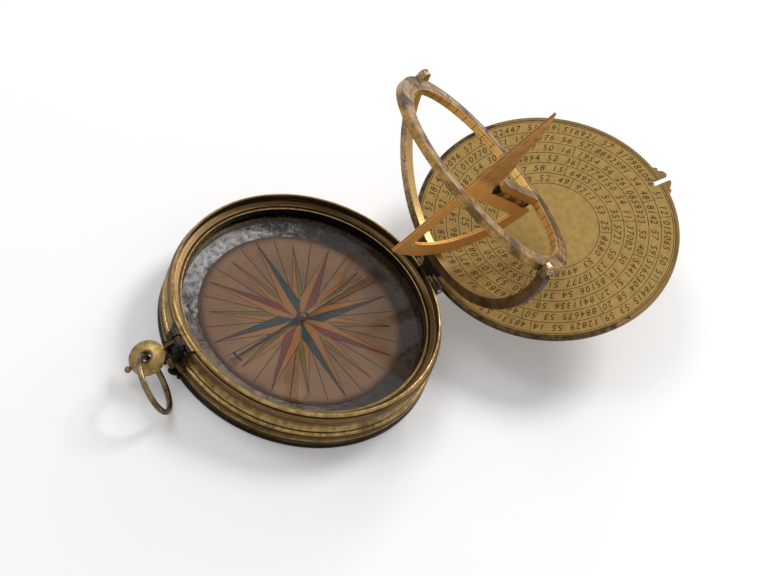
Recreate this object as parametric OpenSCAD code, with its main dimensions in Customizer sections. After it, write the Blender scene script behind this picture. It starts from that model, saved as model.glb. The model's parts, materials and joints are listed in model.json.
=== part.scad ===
// Pocket compendium: a round brass box with a glazed compass, a hinged lid plate and,
// between them, a folding universal equinoctial dial.
// All sizes are millimetres. The box stands on the table plane z = 0 with its axis on z,
// the hinges are on the +x side and the hasp with its bail ring is on the -x side.
// Every moving piece is drawn in the pose of the photograph.

/* [Case] */
// Radius of the case at its widest moulding
wall_r = 33.2; // [28:0.1:41]
// Height of the rim's top above the table
rim_top = 12.4; // [12:0.1:16]
// Thickness of the wall at the rim
wall_t = 1.45; // [1.4:0.05:2]
// How far the top bead stands back from the widest moulding
rim_step = 0.7; // [0.5:0.05:0.75]
// Depth of the upright part of the recess
recess_wall = 1.95; // [1.9:0.05:2.2]
// Gap between the table and the case wall, where the lower cover fits
wall_bottom = 1.85; // [1.82:0.01:2]

/* [Mouldings] */
// Radius of the bead at the foot of the wall
foot_bead = 0.95; // [0.8:0.05:1.1]
// Radius of the small bead above the foot
low_bead = 0.6; // [0.4:0.05:0.7]
// Depth of the hollow band
band_depth = 0.4; // [0.2:0.05:0.6]
// Radius of the dark bead under the rim
neck_bead = 0.9; // [0.7:0.05:1]
// Radius of the crest bead of the rim
crest_bead = 0.6; // [0.4:0.05:0.6]
// Height of the grooves between the beads
groove_h = 0.25; // [0.1:0.05:0.4]

/* [Compass] */
// Width of the ledge around the glass
glass_ledge = 1.45; // [1:0.05:2.5]
// Width of the bezel ring
bezel_w = 0.9; // [0.8:0.05:1.1]
// Thickness of the glass
glass_t = 0.9; // [0.5:0.1:1.2]
// Depth of the glass's top below the rim's top
glass_depth = 4.2; // [4.1:0.05:4.4]
// Dark border around the paper card
card_margin = 4.8; // [2:0.1:8]
// Depth of the card below the glass
card_depth = 1.9; // [1.75:0.05:2]
// Distance from the needle's ends to the card's edge
needle_short = 1.6; // [0.5:0.1:6]
// Direction in which the marked end of the needle points, degrees from +x
needle_dir = 196; // [0:1:360]

/* [Top hinge] */
// Depth of the hinge axis below the rim's top
hinge_sink = 0.95; // [0.9:0.05:1]
// Radius of the knuckles
knuckle_r = 1.2; // [1.1:0.05:1.3]
// Radius of the hinge pins of the case
pin_r = 0.45; // [0.3:0.05:0.6]
// Half length of the barrel
barrel_half = 6.1; // [5.5:0.1:7]

/* [Lid] */
// How far the lid's edge stands back from the widest moulding
lid_step = 1.15; // [0.9:0.05:1.3]
// Thickness of the lid plate
lid_t = 1.2; // [1:0.1:1.6]
// Width of the rim ring of the lid
lid_rim_w = 0.85; // [0.5:0.05:1.5]
// Width of the slot for the hasp
slot_w = 1.7; // [1.1:0.1:1.8]
// Opening angle of the lid in the photograph
lid_angle = 167.5; // [110:0.5:175]
// How far the ears stand out beyond the lid's edge
ear_reach = 1.8; // [1.5:0.1:3]
// Width of one ear beside the slot
ear_w = 4.4; // [4:0.1:6.5]
// Length of the hinge leaf on the lid
leaf_len = 6.65; // [6:0.05:8]
// Thickness of the hinge leaf
leaf_t = 0.6; // [0.4:0.05:0.9]

/* [Dial] */
// Distance from the case's axis to the folded dial's centre
dial_offset = 2.6; // [2.5:0.05:2.65]
// Gap between the folded arc and the rim
dial_gap = 0.35; // [0.33:0.01:0.5]
// Width of the support arc
arc_w = 2.6; // [2.4:0.1:3.2]
// Width of the hour ring
ring_w = 3.9; // [3:0.1:5]
// Thickness of the support arc and of the hour ring
dial_t = 1.8; // [1.6:0.1:2]
// Angle between the folded and the raised support arc
arc_angle = 96.2; // [60:0.1:100]
// Tilt of the hour ring in the support arc
ring_angle = 57.6; // [30:0.1:60]

/* [Gnomon] */
// Gap between the upper point and the hour ring
style_gap = 2.0; // [1:0.1:8]
// Thickness of the plate
gnomon_t = 0.7; // [0.4:0.05:1]
// Width of the quadrant arc
quadrant_w = 4.0; // [3:0.1:5]
// Width of the leg
leg_w = 3.2; // [2.5:0.05:5]
// Width of the lower bar
bar_w = 3.6; // [2.5:0.1:5]
// Width of the blade at its root
blade_w = 8.1; // [6:0.1:8.3]
// Width of the blade at its waist
waist_w = 4.7; // [3.5:0.1:5.5]
// Height of the blade's waist above the dial's centre
waist_z = 11.5; // [9:0.1:13]
// Radius of the gnomon's knuckles
fold_r = 1.05; // [0.7:0.05:1.1]
// Gap between the blade and the barrel hinge under the noon bar
blade_gap = 0.35; // [0.2:0.05:1]

/* [Hasp] */
// Distance of the hasp pivot from the widest moulding
hasp_out = 1.1; // [1.1:0.05:1.5]
// Depth of the hasp pivot below the rim's top
hasp_sink = 1.4; // [1.4:0.05:2]
// Distance from the pivot to the centre of the disc
hasp_len = 8.07; // [7.5:0.01:10]
// Radius of the disc
disc_r = 4.4; // [3.5:0.1:5]
// Angle of the shank below the horizontal in the photograph
hasp_drop = 32.3; // [25:0.1:34]
// Radius of the bail ring, at the middle of its wire
bail_r = 6.9; // [6:0.1:6.9]
// Radius of the bail's wire
bail_wire = 0.7; // [0.4:0.05:0.7]
// Thickness of the disc at its middle
disc_t = 2.3; // [1.6:0.1:2.8]
// Radius of the hole in the disc
disc_hole = 1.2; // [1:0.05:1.4]
// Direction of the bail from the disc's hole, degrees about the disc's axis
bail_dir = 258; // [256:1:262]
// Lean of the bail out of the upright
bail_lean = 9.5; // [9:0.5:10]
// Half width of the pad and of the bracket's plate
pad_half = 4.4; // [4.2:0.1:5]
// Distance between the lobes of the bracket
lobe_pitch = 1.36; // [1.2:0.02:1.4]

/* [Lower cover] */
// Distance of the lower hinge axis from the cover's edge
low_hinge_out = 1.0; // [0.95:0.05:1.2]
// Height of the lower hinge axis
low_hinge_z = 1.3; // [1.2:0.05:1.4]
// Radius of the lower knuckles
low_knuckle_r = 0.85; // [0.75:0.05:0.9]
// Height of the cover's rim
cover_t = 1.8; // [1.7:0.02:1.8]

/* [Hidden] */
$fn = 96;
eps = 0.01;
run_gap = 0.05;
side_gap = 0.1;
press_gap = 0.01;
chamfer = 0.12;
far = 2 * wall_r;
rim_r = wall_r - rim_step;
rim_inner_r = wall_r - wall_t;
cover_r = wall_r;
hinge_x = wall_r;
hinge_z = rim_top - hinge_sink;
low_hinge_x = cover_r + low_hinge_out;
hasp_x = wall_r + hasp_out;
hasp_z = rim_top - hasp_sink;
glass_r = rim_inner_r - glass_ledge;
window_r = glass_r - bezel_w;
shoulder_r = glass_r - 1.4;
seat_r = shoulder_r - 0.9;
floor_r = glass_r - 0.8;
tray_r = shoulder_r - side_gap;
card_r = window_r - card_margin;
needle_len = card_r - needle_short;
lid_r = wall_r - lid_step;
dial_reach = hinge_x + dial_offset;
arc_outer = rim_inner_r - dial_gap;
arc_inner = arc_outer - arc_w;
ring_outer = arc_inner - 0.3;
ring_inner = ring_outer - ring_w;
style_up = ring_inner - style_gap;
style_down = arc_inner - 0.4;
ring_half = dial_t / 2;
fold_axis = ring_half + fold_r + run_gap;
low_pin_r = 0.35;
fold_pin_r = fold_r * 0.45;
swing_pin_r = dial_t * 0.28;
floor_bottom = wall_bottom + 0.15;
floor_t = 1.0;
tray_t = 1.0;
card_t = 0.2;
glass_top = rim_top - glass_depth;
glass_seat = glass_top - glass_t;
card_top = glass_seat - card_depth;
tray_z = card_top - card_t - tray_t;
pivot_r = 0.4;
needle_z = card_top + 0.8;
needle_t = 0.25;
hub_hole = 0.7;
ledge_z = rim_top - recess_wall;
ledge_drop = 0.4;
bezel_top = ledge_z - ledge_drop - run_gap;
lid_gap = 0.05;
lid_z = rim_top + lid_gap;
leaf_z = lid_z + lid_t + lid_gap;
slot_start = lid_r - 2.55;
slot_mid = 0.1;
knuckle_start = 1.6;
knuckle_len = barrel_half / 2 - 0.7;
knuckle_end = knuckle_start + knuckle_len;
lid_knuckles = [[knuckle_start, knuckle_end], [-knuckle_end, -knuckle_start]];
case_knuckles = [[knuckle_end + side_gap, barrel_half], [-barrel_half, -knuckle_end - side_gap]];
arc_knuckle_half = knuckle_start - side_gap;
neck_half = arc_knuckle_half - run_gap;
scroll_r = 0.8;
pivot_end = arc_outer - side_gap;
pivot_start = ring_inner + ring_w * 0.4;
lug_len = 2.9;
lug_outer = arc_outer - 0.3;
bar_half = 1.6;
corner_hole = 0.45;
fold_end = ring_inner - 0.4;
fold_start = blade_w * 1.13 + blade_gap;
fold_len = fold_end - fold_start;
bar_start = fold_start - side_gap;
fold_pitch = (fold_len + side_gap) / 5;
leg_top = -fold_axis - fold_r - side_gap;
leg_bottom = leg_top - leg_w;
rivet_r = 0.55;
shaft_r = rivet_r - 0.15;
lid_rivet_x = lid_r - 3.85;
lid_rivet_y = 2.6;
pad_low = wall_bottom + 0.75;
pad_top = rim_top - crest_bead;
bracket_t = 0.7;
bracket_low = pad_low + crest_bead;
rivet_y = pad_half - 0.9;
rivet_rows = [bracket_low + 1.4, pad_top - 1.6];
eye_r = 1.0;
shank_half = 0.45;
cheek_in = shank_half + 0.15;
cheek_out = 2.5;
lobe_r = 0.95;
ball_r = 0.8;
cover_web = 0.8;
cover_lip = 1.3;
cover_knuckle_half = 2.5;
low_barrel_half = 4.6;
groove_r = wall_r - 0.75;
foot_bead_z = wall_bottom + foot_bead + groove_h;
low_bead_z = foot_bead_z + foot_bead + 2 * groove_h + low_bead;
neck_bead_z = rim_top - 2 * crest_bead - groove_h - neck_bead;
band_low = low_bead_z + low_bead + groove_h;
band_high = neck_bead_z - neck_bead;
brass = [0.72, 0.58, 0.30];
old_brass = [0.62, 0.48, 0.25];
iron = [0.20, 0.17, 0.14];
steel = [0.42, 0.42, 0.44];

// Points of an arc around (x, z), from angle a to angle b in steps
function arc_pts(x, z, r, a, b, n) =
  [for (i = [0:n]) [x + r * cos(a + (b - a) * i / n), z + r * sin(a + (b - a) * i / n)]];

// A cylinder along y, from y = a to y = b, around (x, z)
module along_y(x, z, r, a, b) {
  translate([x, a, z])
    rotate([-90, 0, 0])
      cylinder(r = r, h = b - a);
}

// A cylinder along x, from x = a to x = b, around (y, z)
module along_x(y, z, r, a, b) {
  translate([a, y, z])
    rotate([0, 90, 0])
      cylinder(r = r, h = b - a);
}

// A box given by its two corners
module span(a, b) {
  translate(a)
    cube(b - a);
}

// Turns the closed lid about the top hinge to its place in the photograph
module lid_place() {
  translate([hinge_x, 0, hinge_z])
    rotate([0, lid_angle, 0])
      translate([-hinge_x, 0, -hinge_z])
        children();
}

// Puts the arc's own frame (its centre, folded flat) to its raised place
module arc_place() {
  translate([hinge_x, 0, hinge_z])
    rotate([0, arc_angle, 0])
      translate([-dial_reach, 0, 0])
        children();
}

// Puts the ring's own frame (w along x, the polar axis along z) to its place in the arc
module ring_place() {
  arc_place()
    rotate([0, -ring_angle, 0])
      children();
}

// Puts the hasp's own frame (shank along -x, the disc's axis along z) to its place
module hasp_place() {
  translate([-hasp_x, 0, hasp_z])
    rotate([0, -hasp_drop, 0])
      children();
}

// Points of a curve from a to c that leaves towards b and arrives from it
function bend(a, b, c, n) =
  [for (i = [0:n]) let (t = i / n) (1 - t) * (1 - t) * a + 2 * t * (1 - t) * b + t * t * c];

// An outline and its mirror image below the x axis
function mirrored(p) = concat(p, [for (i = [len(p) - 1:-1:0]) [p[i][0], -p[i][1]]]);

// Points of a hollow with the given depth, from (x, z = a) up to (x, z = b)
function hollow(x, a, b, depth, n) =
  let (h = (b - a) / 2, r = (h * h + depth * depth) / (2 * depth), w = asin(h / r))
    arc_pts(x - depth + r, a + h, r, 180 + w, 180 - w, n);

// Outline of the wall from the outer foot up to the crest and down the recess
function wall_outline() = concat(
  [[wall_r, wall_bottom]],
  arc_pts(wall_r - foot_bead, foot_bead_z, foot_bead, -50, 85, 8),
  [[groove_r, foot_bead_z + foot_bead + side_gap], [groove_r, low_bead_z - low_bead - side_gap]],
  arc_pts(wall_r - low_bead, low_bead_z, low_bead, -75, 75, 8),
  [[groove_r, low_bead_z + low_bead + run_gap], [groove_r, band_low - side_gap]],
  hollow(groove_r + side_gap, band_low, band_high, band_depth, 6),
  arc_pts(wall_r - 0.15 - neck_bead, neck_bead_z, neck_bead, -62, 66, 8),
  [[groove_r - 0.35, neck_bead_z + neck_bead], [groove_r - 0.35, rim_top - 2 * crest_bead]],
  arc_pts(rim_r - crest_bead, rim_top - crest_bead, crest_bead, -55, 90, 7),
  [[rim_inner_r + chamfer, rim_top], [rim_inner_r, rim_top - chamfer]],
  [[rim_inner_r, ledge_z], [glass_r + run_gap, ledge_z - ledge_drop]],
  [[glass_r + run_gap, glass_seat], [shoulder_r, glass_seat]],
  [[shoulder_r, tray_z], [seat_r, tray_z]],
  [[seat_r, floor_bottom + floor_t], [floor_r + run_gap, floor_bottom + floor_t]],
  [[floor_r + run_gap, wall_bottom]]);

// Holes of the bracket's rivets, from x = a to x = b
module rivet_holes(a, b) {
  for (y = [-rivet_y, rivet_y])
    for (z = rivet_rows)
      along_x(y, z, shaft_r, a, b);
}

module case_wall() {
  color(old_brass)
    difference() {
      union() {
        rotate_extrude()
          polygon(wall_outline());
        // Smooth pad under the hasp bracket
        intersection() {
          difference() {
            translate([0, 0, pad_low])
              cylinder(r = wall_r, h = pad_top - pad_low);
            translate([0, 0, pad_low - 1])
              cylinder(r = rim_inner_r + rim_step / 2, h = far);
          }
          span([-far, -pad_half, pad_low - 1], [-wall_r / 2, pad_half, rim_top]);
        }
      }
      // Seat of the barrel in the rim
      span([hinge_x - knuckle_r - 0.08, -barrel_half - side_gap, hinge_z - knuckle_r - side_gap],
        [far, barrel_half + side_gap, rim_top + 1]);
      // Gap in which the neck of the support arc folds down
      span([glass_r - 1, -arc_knuckle_half - side_gap, ledge_z + 2 * eps],
        [far, arc_knuckle_half + side_gap, rim_top + 1]);
      rivet_holes(-wall_r - 2, -wall_r + 1.3);
    }
}

module case_floor() {
  color(old_brass)
    difference() {
      translate([0, 0, floor_bottom])
        cylinder(r = floor_r, h = floor_t);
      translate([0, 0, floor_bottom - eps])
        cylinder(r = pivot_r + 0.2, h = floor_t + 2 * eps);
    }
}

module compass_tray() {
  color([0.22, 0.19, 0.17])
    difference() {
      translate([0, 0, tray_z])
        cylinder(r = tray_r, h = tray_t);
      translate([0, 0, tray_z - eps])
        cylinder(r = pivot_r + press_gap, h = tray_t + 2 * eps);
    }
}

module compass_card() {
  color([0.62, 0.50, 0.42])
    difference() {
      translate([0, 0, card_top - card_t])
        cylinder(r = card_r, h = card_t);
      translate([0, 0, card_top - card_t - eps])
        cylinder(r = pivot_r + press_gap, h = card_t + 2 * eps);
    }
}

module pivot_pin() {
  color(steel) {
    translate([0, 0, tray_z])
      cylinder(r = pivot_r, h = tray_t + card_t + 0.35);
    translate([0, 0, card_top + 0.35])
      cylinder(r1 = pivot_r, r2 = 0.08, h = 0.75);
  }
}

module needle() {
  color(steel)
    translate([0, 0, needle_z])
      rotate([0, 0, needle_dir])
        difference() {
          union() {
            linear_extrude(needle_t)
              polygon([[needle_len, 0], [needle_len - 2.6, 0.18], [4, 0.24], [0, 0.8],
                [-4, 0.24], [-needle_len + 0.6, 0.14], [-needle_len, 0],
                [-needle_len + 0.6, -0.14], [-4, -0.24], [0, -0.8], [4, -0.24],
                [needle_len - 2.6, -0.18]]);
            cylinder(r = 1.3, h = needle_t);
            span([needle_len - 2.1, -1.4, 0], [needle_len - 1.7, 1.4, needle_t]);
          }
          translate([0, 0, -eps])
            cylinder(r = hub_hole, h = needle_t + 2 * eps);
        }
}

module needle_cap() {
  color([0.45, 0.33, 0.18])
    difference() {
      union() {
        translate([0, 0, needle_z - 0.35])
          cylinder(r = hub_hole - press_gap, h = 0.35 + needle_t);
        translate([0, 0, needle_z + needle_t])
          cylinder(r1 = 1.2, r2 = 0.5, h = 0.6);
      }
      translate([0, 0, needle_z - 0.36])
        cylinder(r1 = 0.55, r2 = 0.1, h = 0.72);
    }
}

module glass() {
  color([0.75, 0.82, 0.85, 0.35])
    translate([0, 0, glass_seat])
      cylinder(r = glass_r, h = glass_t);
}

module bezel_ring() {
  color(brass)
    rotate_extrude()
      polygon([[window_r, glass_top], [glass_r, glass_top], [glass_r, bezel_top - 0.15],
        [window_r + 0.6, bezel_top], [window_r + 0.22, bezel_top],
        [window_r + 0.1, bezel_top - 0.15], [window_r + 0.1, glass_top + 0.4],
        [window_r, glass_top + 0.3]]);
}

// The two outer knuckles of the top hinge and the feet by which they stand in the rim
module case_hinge() {
  color(iron)
    difference() {
      for (k = case_knuckles) {
        along_y(hinge_x, hinge_z, knuckle_r, k[0], k[1]);
        span([hinge_x - knuckle_r, k[0], hinge_z - knuckle_r - side_gap],
          [hinge_x + 0.35, k[1], hinge_z]);
      }
      along_y(hinge_x, hinge_z, pin_r + press_gap, -far, far);
      cylinder(r = rim_inner_r + run_gap, h = far);
    }
}

module top_hinge_pin() {
  color(steel) {
    along_y(hinge_x, hinge_z, pin_r, -barrel_half - 0.05, barrel_half + 0.05);
    for (s = [-1, 1])
      translate([hinge_x, s * (barrel_half + 0.05), hinge_z])
        rotate([-90 * s, 0, 0])
          cylinder(r1 = 0.75, r2 = 0.45, h = 0.35);
  }
}

// Slot of the hasp, as wide as the lid is thick
module lid_slot() {
  span([-far, slot_mid - slot_w / 2, lid_z - 1], [-slot_start, slot_mid + slot_w / 2, lid_z + 4]);
}

module lid_plate() {
  color(brass)
    lid_place()
      difference() {
        translate([0, 0, lid_z])
          cylinder(r = lid_r - lid_rim_w, h = lid_t);
        lid_slot();
        for (y = [-lid_rivet_y, lid_rivet_y])
          translate([lid_rivet_x, y, lid_z - 1])
            cylinder(r = shaft_r, h = lid_t + 2);
      }
}

// One ear beside the slot, from the lid's edge over a spur to its round lobe
function ear_outline() = let (lobe = ear_reach + run_gap) concat(
  [[-lid_r + 0.46 * lobe, ear_w * 0.03], [-lid_r + 0.65 * lobe, ear_w]],
  [[-lid_r + 0.2 * lobe, ear_w * 0.95], [-lid_r - 0.33 * lobe, ear_w * 0.82]],
  arc_pts(-lid_r + run_gap, ear_w * 0.21, lobe, 102, 202, 8));

module lid_rim() {
  color(old_brass)
    lid_place()
      difference() {
        union() {
          rotate_extrude()
            polygon([[lid_r - lid_rim_w, lid_z - 0.03], [lid_r - 0.12, lid_z - 0.03],
              [lid_r, lid_z + 0.12], [lid_r, lid_z + lid_t - 0.1],
              [lid_r - 0.15, lid_z + lid_t + 0.05], [lid_r - lid_rim_w, lid_z + lid_t + 0.05]]);
          for (s = [-1, 1])
            translate([0, slot_mid, lid_z])
              mirror([0, s < 0 ? 1 : 0, 0])
                linear_extrude(lid_t)
                  polygon(ear_outline());
        }
        translate([0, 0, lid_z - 1])
          cylinder(r = lid_r - lid_rim_w, h = 5);
        lid_slot();
      }
}

// Outline of the lid's hinge leaf: straight by the hinge, then lobed to a point
function leaf_outline() = mirrored(concat(
  [[lid_r + 0.25, knuckle_end], [lid_r - leaf_len * 0.36, knuckle_end]],
  [[lid_r - leaf_len * 0.46, knuckle_end * 0.8]],
  bend([lid_r - leaf_len * 0.57, knuckle_end], [lid_r - leaf_len * 0.88, knuckle_end * 0.6],
    [lid_r - leaf_len, 0], 6)));

// Leaf on the outside of the lid with the lid's two knuckles
module lid_hinge_leaf() {
  color(iron)
    lid_place()
      difference() {
        union() {
          translate([0, 0, leaf_z])
            linear_extrude(leaf_t)
              polygon(leaf_outline());
          for (k = lid_knuckles) {
            along_y(hinge_x, hinge_z, knuckle_r, k[0], k[1]);
            span([lid_r + lid_gap, k[0], hinge_z], [hinge_x + knuckle_r / 4, k[1], leaf_z + leaf_t]);
          }
        }
        along_y(hinge_x, hinge_z, pin_r + run_gap, -barrel_half, barrel_half);
        for (y = [-lid_rivet_y, lid_rivet_y])
          translate([lid_rivet_x, y, lid_z])
            cylinder(r = shaft_r, h = lid_t + 2);
      }
}

module lid_rivets() {
  color(brass)
    lid_place()
      for (y = [-lid_rivet_y, lid_rivet_y])
        translate([lid_rivet_x, y, lid_z]) {
          cylinder(r = shaft_r - press_gap, h = leaf_z + leaf_t - lid_z);
          translate([0, 0, leaf_z + leaf_t - lid_z])
            cylinder(r1 = rivet_r, r2 = rivet_r - 0.25, h = 0.3);
        }
}

// One lug at the arc's end, worn slimmer towards its tip
module lug() {
  slim = (lug_outer - arc_inner) / 5;
  intersection() {
    translate([0, 0, -ring_half])
      linear_extrude(dial_t)
        polygon([[eps, arc_inner], [eps, lug_outer], [-lug_len * 0.45, lug_outer],
          [-lug_len + slim / 2, lug_outer - slim], [-lug_len, lug_outer - 2 * slim],
          [-lug_len, arc_inner + slim / 2], [-lug_len + slim / 2, arc_inner]]);
    translate([0, far, 0])
      rotate([90, 0, 0])
        linear_extrude(2 * far)
          polygon(mirrored([[eps, ring_half], [-lug_len * 0.45, ring_half],
            [-lug_len + slim / 2, ring_half - slim / 2], [-lug_len, ring_half - slim]]));
  }
}

module support_arc() {
  color(old_brass)
    arc_place()
      difference() {
        union() {
          rotate([0, 0, -90])
            rotate_extrude(angle = 180)
              translate([arc_inner, -ring_half])
                square([arc_outer - arc_inner, dial_t]);
          for (s = [0, 1])
            mirror([0, s, 0])
              lug();
        }
        along_y(0, 0, swing_pin_r + run_gap, -40, 40);
      }
}

// Outline of the neck: scrolled shoulders on the arc, then straight to the knuckle
function neck_outline() = let (w = neck_half + 2 * scroll_r) mirrored(concat(
  [[arc_outer - scroll_r / 2, w + scroll_r + side_gap]],
  arc_pts(arc_outer + scroll_r, w + scroll_r / 2, scroll_r, 110, -20, 8),
  [[arc_outer + scroll_r * 1.6, w - scroll_r / 2]],
  bend([arc_outer + scroll_r * 2.1, w - scroll_r], [arc_outer + scroll_r * 2.6, neck_half * 1.3],
    [dial_reach - knuckle_r - side_gap, neck_half], 4),
  [[dial_reach, neck_half]]));

// Neck and the middle knuckle of the top hinge, fixed to the outside of the arc
module arc_bracket() {
  color(iron)
    arc_place()
      difference() {
        union() {
          along_y(dial_reach, 0, knuckle_r, -arc_knuckle_half, arc_knuckle_half);
          translate([0, 0, -ring_half])
            linear_extrude(dial_t)
              polygon(neck_outline());
        }
        translate([0, 0, -far / 2])
          cylinder(r = arc_outer, h = far);
        along_y(dial_reach, 0, pin_r + run_gap, -barrel_half, barrel_half);
      }
}

module pivot_screw(side) {
  color(steel)
    ring_place()
      mirror([0, side < 0 ? 1 : 0, 0])
        along_y(0, 0, swing_pin_r, pivot_start, pivot_end);
}

module pivot_screw_far() {
  pivot_screw(1);
}

module pivot_screw_near() {
  pivot_screw(-1);
}

module hour_ring() {
  color(old_brass)
    ring_place()
      difference() {
        translate([0, 0, -ring_half])
          cylinder(r = ring_outer, h = dial_t);
        translate([0, 0, -ring_half - eps])
          cylinder(r = ring_inner, h = dial_t + 2 * eps);
        for (s = [0, 1])
          mirror([0, s, 0])
            along_y(0, 0, swing_pin_r + press_gap, pivot_start, far);
      }
}

// Knuckle i of the five of the barrel hinge, with its web of half width w up or down to z
module fold_knuckle(i, w, z) {
  a = fold_start + i * fold_pitch;
  b = a + fold_pitch - side_gap;
  along_x(0, -fold_axis, fold_r, a, b);
  span([a, -w, min(z, -fold_axis)], [b, w, max(z, -fold_axis)]);
}

// Bar at noon, flush with the ring, with the ring's knuckles under it
module hinge_bar() {
  color(brass)
    ring_place()
      difference() {
        union() {
          intersection() {
            span([bar_start, -bar_half, -ring_half], [ring_outer, bar_half, ring_half]);
            translate([0, 0, -dial_t])
              cylinder(r = ring_inner - press_gap, h = 2 * dial_t);
          }
          for (i = [0, 2, 4])
            fold_knuckle(i, fold_r, -ring_half + eps);
        }
        along_x(0, -fold_axis, fold_pin_r + press_gap, 0, ring_outer);
      }
}

module gnomon_pin() {
  color(iron)
    ring_place()
      along_x(0, -fold_axis, fold_pin_r, fold_start - side_gap, fold_end + side_gap);
}

// The gnomon's plate, drawn with w to the right and the polar axis upwards
module gnomon_outline() {
  difference() {
    union() {
      // Blade, from the leg over its root and its waist to the upper point
      polygon(concat([[0, leg_bottom], [blade_w, leg_bottom], [blade_w * 1.13, leg_top]],
        bend([blade_w, leg_top * 0.63], [blade_w, waist_z * 0.38], [waist_w * 1.17, waist_z * 0.74], 8),
        bend([waist_w * 1.17, waist_z * 0.74], [waist_w, waist_z * 0.89],
          [waist_w * 0.96, waist_z * 1.13], 4),
        bend([waist_w * 0.96, waist_z * 1.13], [waist_w * 0.87, waist_z * 1.43], [0, style_up], 8)));
      // Lower bar with the style's edge at w = 0
      intersection() {
        circle(r = style_down);
        translate([0, -style_down])
          square([bar_w, style_down + leg_bottom + eps]);
      }
      // Leg along the noon radius
      intersection() {
        circle(r = style_down);
        translate([blade_w - side_gap, leg_bottom])
          square([far, leg_w]);
      }
      // Quadrant arc
      intersection() {
        difference() {
          circle(r = style_down);
          circle(r = style_down - quadrant_w);
        }
        translate([0, -far])
          square([far, far + leg_top]);
      }
    }
    translate([bar_w + corner_hole / 2, -style_down + quadrant_w + corner_hole / 4])
      circle(r = corner_hole);
    translate([waist_w * 0.73, waist_z * 1.24])
      circle(r = corner_hole * 0.67);
  }
}

module gnomon() {
  color([0.68, 0.45, 0.18])
    ring_place()
      difference() {
        union() {
          intersection() {
            translate([0, gnomon_t / 2, 0])
              rotate([90, 0, 0])
                linear_extrude(gnomon_t)
                  gnomon_outline();
            span([0, -dial_t, -far], [far, dial_t, far]);
          }
          for (i = [1, 3])
            fold_knuckle(i, gnomon_t / 2, leg_top - eps);
        }
        along_x(0, -fold_axis, fold_pin_r + run_gap, fold_start, ring_outer);
      }
}

// Lobes of the bracket's cheeks: reach beyond the wall, height, radius
lobes = [for (i = [0:5]) [i % 2 == 1 ? 1.9 * lobe_r : 1.15 * lobe_r, hasp_z - i * lobe_pitch,
  i == 0 ? 1.4 * lobe_r : i % 2 == 1 ? 0.9 * lobe_r : lobe_r]];

module hasp_bracket() {
  color(iron)
    difference() {
      union() {
        // Plate on the pad
        intersection() {
          difference() {
            translate([0, 0, bracket_low])
              cylinder(r = wall_r + bracket_t, h = pad_top - bracket_low - 2 * side_gap);
            translate([0, 0, bracket_low - 1])
              cylinder(r = wall_r, h = far);
          }
          span([-far, -pad_half + side_gap, bracket_low - 1], [-wall_r / 2, pad_half - side_gap, pad_top]);
        }
        for (s = [-1, 1])
          for (l = lobes)
            intersection() {
              along_y(-wall_r - l[0], l[1], l[2], min(s * cheek_in, s * cheek_out),
                max(s * cheek_in, s * cheek_out));
              span([-far, -far, bracket_low - 1], [-wall_r - 0.2, far, rim_top - side_gap]);
            }
      }
      along_y(-hasp_x, hasp_z, pin_r + press_gap, -far, far);
      rivet_holes(-wall_r - 2, -wall_r + 1);
      // Room for the hasp's eye
      along_y(-hasp_x, hasp_z, eye_r + side_gap, -cheek_in, cheek_in);
    }
}

module bracket_rivets() {
  head_x = sqrt(pow(wall_r + bracket_t, 2) - pow(rivet_y - rivet_r, 2)) + press_gap;
  color([0.35, 0.28, 0.18])
    for (y = [-rivet_y, rivet_y])
      for (z = rivet_rows) {
        along_x(y, z, shaft_r - press_gap, -head_x - eps, -wall_r + 1.2);
        translate([-head_x, y, z])
          rotate([0, -90, 0])
            cylinder(r1 = rivet_r, r2 = rivet_r / 2, h = 0.35);
      }
}

module hasp_pin() {
  color(steel)
    along_y(-hasp_x, hasp_z, pin_r, -cheek_out - pin_r / 2, cheek_out + pin_r / 2);
}

// Half profile of the disc, thick in the middle with a thin edge
function disc_profile() = concat(
  [[0, -disc_t / 2]],
  bend([1.4, -disc_t / 2 + 0.05], [disc_r - 1, -disc_t / 2 + 0.3], [disc_r, -0.2], 5),
  bend([disc_r, 0.2], [disc_r - 1, disc_t / 2 - 0.3], [1.4, disc_t / 2 - 0.05], 5),
  [[0, disc_t / 2]]);

// Shank with its eye and the pierced disc, drawn with the disc's axis along z
module hasp() {
  color(brass)
    hasp_place()
      difference() {
        union() {
          along_y(0, 0, eye_r, -shank_half, shank_half);
          span([-hasp_len + disc_r - 0.5, -shank_half, -0.6], [0, shank_half, 0.6]);
          translate([-hasp_len, 0, 0])
            rotate_extrude()
              polygon(disc_profile());
        }
        along_y(0, 0, pin_r + run_gap, -2, 2);
        translate([-hasp_len, 0, -3])
          cylinder(r = disc_hole, h = 6);
      }
}

module hasp_finial() {
  color(brass)
    hasp_place()
      difference() {
        union() {
          translate([-hasp_len - disc_r - ball_r + 0.05, 0, 0])
            sphere(r = ball_r);
          along_x(0, 0, 0.5, -hasp_len - disc_r - 0.5, -hasp_len - disc_r + 0.3);
        }
        translate([-hasp_len, 0, -1])
          cylinder(r = disc_r, h = 2);
      }
}

module bail_ring() {
  color([0.42, 0.36, 0.24])
    hasp_place()
      translate([-hasp_len, 0, 0])
        rotate([0, 0, bail_dir])
          rotate([bail_lean, 0, 0])
            translate([bail_r, 0, 0])
              rotate([90, 0, 0])
                rotate_extrude()
                  translate([bail_r, 0])
                    circle(r = bail_wire);
}

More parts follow.
